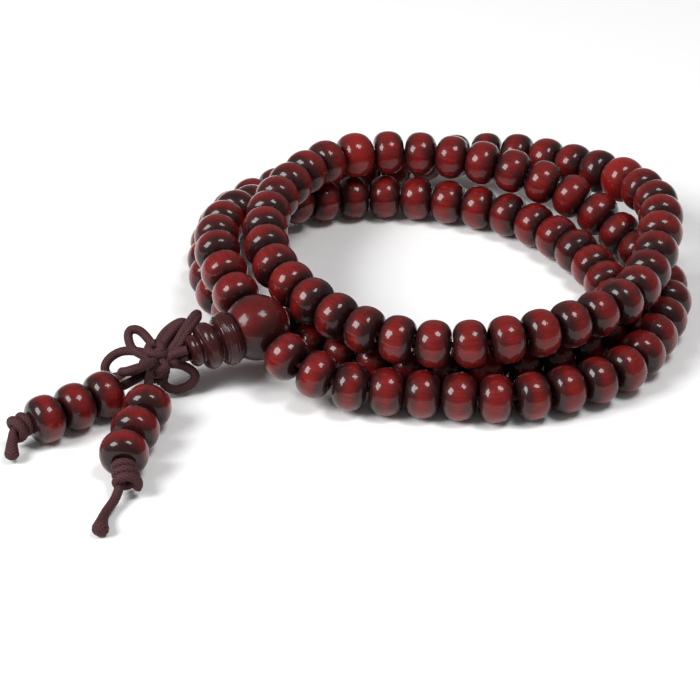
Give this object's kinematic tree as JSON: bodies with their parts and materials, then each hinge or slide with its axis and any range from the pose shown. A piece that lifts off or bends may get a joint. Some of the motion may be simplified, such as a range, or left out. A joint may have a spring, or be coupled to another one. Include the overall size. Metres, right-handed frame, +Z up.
{
  "type": "mala prayer beads",
  "caption": "Mala prayer bead strand laid in a coil, with marker beads, a guru bead, a turned tower bead, a tied knot with ear loops and beaded tails.",
  "frame": {"origin": "middle of the box round the coil and the knot, on the surface that the coil lies on", "axes": "+Z up from the surface, +X from the knot towards the far side of the coil, +Y from the front of the coil to its back"},
  "size_m": [0.1187, 0.1206, 0.0187],
  "materials": {
    "bead_wood": "glossy red-brown lacquer over turned wood, darker round the bores",
    "marker_wood": "glossy brighter red lacquer over turned wood",
    "guru_wood": "glossy red-brown lacquer over turned wood",
    "tower_wood": "satin dark red-brown lacquer with fine turned lines",
    "strand_cord": "matt brown twisted cord",
    "knotting_cord": "matt brown round braided cord"
  },
  "bodies": {
    "strand": {"strand_cord": "strand_cord", "guru_bead": "guru_wood", "stem_cord": "strand_cord", "first_run_beads": "bead_wood", "third_run_beads": "bead_wood", "fourth_run_beads": "bead_wood"},
    "tower_bead": {"tower_bead": "tower_wood"},
    "second_run_bead_1": {"second_run_bead_1": "bead_wood"},
    "second_run_bead_2": {"second_run_bead_2": "bead_wood"},
    "second_run_bead_3": {"second_run_bead_3": "bead_wood"},
    "second_run_bead_4": {"second_run_bead_4": "bead_wood"},
    "second_run_bead_5": {"second_run_bead_5": "bead_wood"},
    "second_run_bead_6": {"second_run_bead_6": "bead_wood"},
    "second_run_bead_7": {"second_run_bead_7": "bead_wood"},
    "second_run_bead_8": {"second_run_bead_8": "bead_wood"},
    "second_run_bead_9": {"second_run_bead_9": "bead_wood"},
    "second_run_bead_10": {"second_run_bead_10": "bead_wood"},
    "second_run_bead_11": {"second_run_bead_11": "bead_wood"},
    "second_run_bead_12": {"second_run_bead_12": "bead_wood"},
    "second_run_bead_13": {"second_run_bead_13": "bead_wood"},
    "second_run_bead_14": {"second_run_bead_14": "bead_wood"},
    "second_run_bead_15": {"second_run_bead_15": "bead_wood"},
    "second_run_bead_16": {"second_run_bead_16": "bead_wood"},
    "second_run_bead_17": {"second_run_bead_17": "bead_wood"},
    "second_run_bead_18": {"second_run_bead_18": "bead_wood"},
    "second_run_bead_19": {"second_run_bead_19": "bead_wood"},
    "second_run_bead_20": {"second_run_bead_20": "bead_wood"},
    "second_run_bead_21": {"second_run_bead_21": "bead_wood"},
    "second_run_bead_22": {"second_run_bead_22": "bead_wood"},
    "second_run_bead_23": {"second_run_bead_23": "bead_wood"},
    "second_run_bead_24": {"second_run_bead_24": "bead_wood"},
    "second_run_bead_25": {"second_run_bead_25": "bead_wood"},
    "second_run_bead_26": {"second_run_bead_26": "bead_wood"},
    "second_run_bead_27": {"second_run_bead_27": "bead_wood"},
    "marker_bead_1": {"marker_bead_1": "marker_wood"},
    "marker_bead_2": {"marker_bead_2": "marker_wood"},
    "marker_bead_3": {"marker_bead_3": "marker_wood"},
    "pendant": {"knot": "knotting_cord"},
    "left_tail": {"left_tail_cord": "knotting_cord", "left_end_knot": "knotting_cord"},
    "front_tail": {"front_tail_cord": "knotting_cord", "front_end_knot": "knotting_cord"},
    "left_tail_bead_1": {"left_tail_bead_1": "bead_wood"},
    "left_tail_bead_2": {"left_tail_bead_2": "bead_wood"},
    "left_tail_bead_3": {"left_tail_bead_3": "bead_wood"},
    "front_tail_bead_1": {"front_tail_bead_1": "bead_wood"},
    "front_tail_bead_2": {"front_tail_bead_2": "bead_wood"},
    "front_tail_bead_3": {"front_tail_bead_3": "bead_wood"}
  },
  "joints": [
    {"name": "tower_bead_spin", "type": "hinge", "parent": "strand", "child": "tower_bead", "pos_m": [-0.0329, -0.03142, 0.0085], "axis": [-0.8777, -0.4688, -0.0997], "continuous": true},
    {"name": "second_run_bead_1_spin", "type": "hinge", "parent": "strand", "child": "second_run_bead_1", "pos_m": [-0.01358, 0.0262, 0.01308], "axis": [-0.7211, -0.6891, 0.0717], "continuous": true},
    {"name": "second_run_bead_2_spin", "type": "hinge", "parent": "strand", "child": "second_run_bead_2", "pos_m": [-0.01728, 0.02134, 0.01355], "axis": [-0.5086, -0.8579, 0.0726], "continuous": true},
    {"name": "second_run_bead_3_spin", "type": "hinge", "parent": "strand", "child": "second_run_bead_3", "pos_m": [-0.02012, 0.01589, 0.01392], "axis": [-0.417, -0.9076, 0.0482], "continuous": true},
    {"name": "second_run_bead_4_spin", "type": "hinge", "parent": "strand", "child": "second_run_bead_4", "pos_m": [-0.02235, 0.01016, 0.01417], "axis": [-0.3064, -0.9512, 0.0352], "continuous": true},
    {"name": "second_run_bead_5_spin", "type": "hinge", "parent": "strand", "child": "second_run_bead_5", "pos_m": [-0.02379, 0.00419, 0.01437], "axis": [-0.1568, -0.9871, 0.033], "continuous": true},
    {"name": "second_run_bead_6_spin", "type": "hinge", "parent": "strand", "child": "second_run_bead_6", "pos_m": [-0.02425, -0.00194, 0.01453], "axis": [0.0014, -1, 0.0087], "continuous": true},
    {"name": "second_run_bead_7_spin", "type": "hinge", "parent": "strand", "child": "second_run_bead_7", "pos_m": [-0.02372, -0.00806, 0.01434], "axis": [0.1681, -0.983, -0.0744], "continuous": true},
    {"name": "second_run_bead_8_spin", "type": "hinge", "parent": "strand", "child": "second_run_bead_8", "pos_m": [-0.02209, -0.01396, 0.01376], "axis": [0.3767, -0.9219, -0.0908], "continuous": true},
    {"name": "second_run_bead_9_spin", "type": "hinge", "parent": "strand", "child": "second_run_bead_9", "pos_m": [-0.01916, -0.01934, 0.01329], "axis": [0.5525, -0.8304, -0.0717], "continuous": true},
    {"name": "second_run_bead_10_spin", "type": "hinge", "parent": "strand", "child": "second_run_bead_10", "pos_m": [-0.01545, -0.02422, 0.01287], "axis": [0.6475, -0.7594, -0.0645], "continuous": true},
    {"name": "second_run_bead_11_spin", "type": "hinge", "parent": "strand", "child": "second_run_bead_11", "pos_m": [-0.01123, -0.02869, 0.01249], "axis": [0.7271, -0.6843, -0.0555], "continuous": true},
    {"name": "second_run_bead_12_spin", "type": "hinge", "parent": "strand", "child": "second_run_bead_12", "pos_m": [-0.00645, -0.03254, 0.01219], "axis": [0.8402, -0.5407, -0.042], "continuous": true},
    {"name": "second_run_bead_13_spin", "type": "hinge", "parent": "strand", "child": "second_run_bead_13", "pos_m": [-0.00092, -0.03518, 0.01196], "axis": [0.9496, -0.3118, -0.0311], "continuous": true},
    {"name": "second_run_bead_14_spin", "type": "hinge", "parent": "strand", "child": "second_run_bead_14", "pos_m": [0.00508, -0.03651, 0.01188], "axis": [0.9897, -0.143, 0.0095], "continuous": true},
    {"name": "second_run_bead_15_spin", "type": "hinge", "parent": "strand", "child": "second_run_bead_15", "pos_m": [0.0112, -0.03698, 0.01221], "axis": [0.9963, -0.003, 0.0861], "continuous": true},
    {"name": "second_run_bead_16_spin", "type": "hinge", "parent": "strand", "child": "second_run_bead_16", "pos_m": [0.01729, -0.03635, 0.01267], "axis": [0.9731, 0.2275, 0.036], "continuous": true},
    {"name": "second_run_bead_17_spin", "type": "hinge", "parent": "strand", "child": "second_run_bead_17", "pos_m": [0.02305, -0.03424, 0.01264], "axis": [0.895, 0.4449, -0.0313], "continuous": true},
    {"name": "second_run_bead_18_spin", "type": "hinge", "parent": "strand", "child": "second_run_bead_18", "pos_m": [0.02835, -0.03113, 0.01243], "axis": [0.8285, 0.5591, -0.0317], "continuous": true},
    {"name": "second_run_bead_19_spin", "type": "hinge", "parent": "strand", "child": "second_run_bead_19", "pos_m": [0.03327, -0.02744, 0.01224], "axis": [0.769, 0.6385, -0.0311], "continuous": true},
    {"name": "second_run_bead_20_spin", "type": "hinge", "parent": "strand", "child": "second_run_bead_20", "pos_m": [0.03773, -0.02321, 0.01205], "axis": [0.6665, 0.745, -0.0278], "continuous": true},
    {"name": "second_run_bead_21_spin", "type": "hinge", "parent": "strand", "child": "second_run_bead_21", "pos_m": [0.0412, -0.01815, 0.01186], "axis": [0.4543, 0.8902, -0.0354], "continuous": true},
    {"name": "second_run_bead_22_spin", "type": "hinge", "parent": "strand", "child": "second_run_bead_22", "pos_m": [0.04353, -0.01247, 0.01176], "axis": [0.3463, 0.9379, 0.0194], "continuous": true},
    {"name": "second_run_bead_23_spin", "type": "hinge", "parent": "strand", "child": "second_run_bead_23", "pos_m": [0.04551, -0.00667, 0.01229], "axis": [0.2806, 0.951, 0.1299], "continuous": true},
    {"name": "second_run_bead_24_spin", "type": "hinge", "parent": "strand", "child": "second_run_bead_24", "pos_m": [0.04691, -0.00072, 0.01297], "axis": [0.1689, 0.9842, 0.0526], "continuous": true},
    {"name": "second_run_bead_25_spin", "type": "hinge", "parent": "strand", "child": "second_run_bead_25", "pos_m": [0.04772, 0.00538, 0.01298], "axis": [0.0725, 0.9967, -0.0376], "continuous": true},
    {"name": "second_run_bead_26_spin", "type": "hinge", "parent": "strand", "child": "second_run_bead_26", "pos_m": [0.04746, 0.0115, 0.01258], "axis": [-0.1803, 0.9796, -0.0884], "continuous": true},
    {"name": "second_run_bead_27_spin", "type": "hinge", "parent": "strand", "child": "second_run_bead_27", "pos_m": [0.04567, 0.01733, 0.01189], "axis": [-0.3781, 0.9166, -0.13], "continuous": true},
    {"name": "marker_bead_1_spin", "type": "hinge", "parent": "strand", "child": "marker_bead_1", "pos_m": [-0.00806, 0.02974, 0.01268], "axis": [-0.9192, -0.3902, 0.0534], "continuous": true},
    {"name": "marker_bead_2_spin", "type": "hinge", "parent": "strand", "child": "marker_bead_2", "pos_m": [0.04262, 0.02311, 0.01098], "axis": [-0.5448, 0.8263, -0.1426], "continuous": true},
    {"name": "marker_bead_3_spin", "type": "hinge", "parent": "strand", "child": "marker_bead_3", "pos_m": [0.01391, -0.03268, 0.00428], "axis": [0.999, 0.0442, 0.0042], "continuous": true},
    {"name": "pendant_swing", "type": "hinge", "parent": "strand", "child": "pendant", "pos_m": [-0.03654, -0.03336, 0.00809], "axis": [0, 0, 1], "range_deg": [-3, 12]},
    {"name": "left_tail_swing", "type": "hinge", "parent": "pendant", "child": "left_tail", "pos_m": [-0.0445, -0.0358, 0.005], "axis": [0, 0, 1], "range_deg": [-12, 1]},
    {"name": "front_tail_swing", "type": "hinge", "parent": "pendant", "child": "front_tail", "pos_m": [-0.0431, -0.0372, 0.005], "axis": [0, 0, 1], "range_deg": [-1, 12]},
    {"name": "left_tail_bead_1_spin", "type": "hinge", "parent": "left_tail", "child": "left_tail_bead_1", "pos_m": [-0.0505, -0.0402, 0.0041], "axis": [-0.7959, -0.6041, -0.04], "continuous": true},
    {"name": "left_tail_bead_2_spin", "type": "hinge", "parent": "left_tail", "child": "left_tail_bead_2", "pos_m": [-0.055, -0.0438, 0.0041], "axis": [-0.7829, -0.6221, 0.0012], "continuous": true},
    {"name": "left_tail_bead_3_spin", "type": "hinge", "parent": "left_tail", "child": "left_tail_bead_3", "pos_m": [-0.0596, -0.0474, 0.0041], "axis": [-0.8313, -0.5556, -0.0163], "continuous": true},
    {"name": "front_tail_bead_1_spin", "type": "hinge", "parent": "front_tail", "child": "front_tail_bead_1", "pos_m": [-0.0429, -0.044, 0.0041], "axis": [-0.1433, -0.989, -0.0378], "continuous": true},
    {"name": "front_tail_bead_2_spin", "type": "hinge", "parent": "front_tail", "child": "front_tail_bead_2", "pos_m": [-0.0444, -0.0506, 0.0041], "axis": [-0.2077, -0.9782, 0.0022], "continuous": true},
    {"name": "front_tail_bead_3_spin", "type": "hinge", "parent": "front_tail", "child": "front_tail_bead_3", "pos_m": [-0.0457, -0.0574, 0.0041], "axis": [-0.1042, -0.9919, -0.0721], "continuous": true}
  ]
}
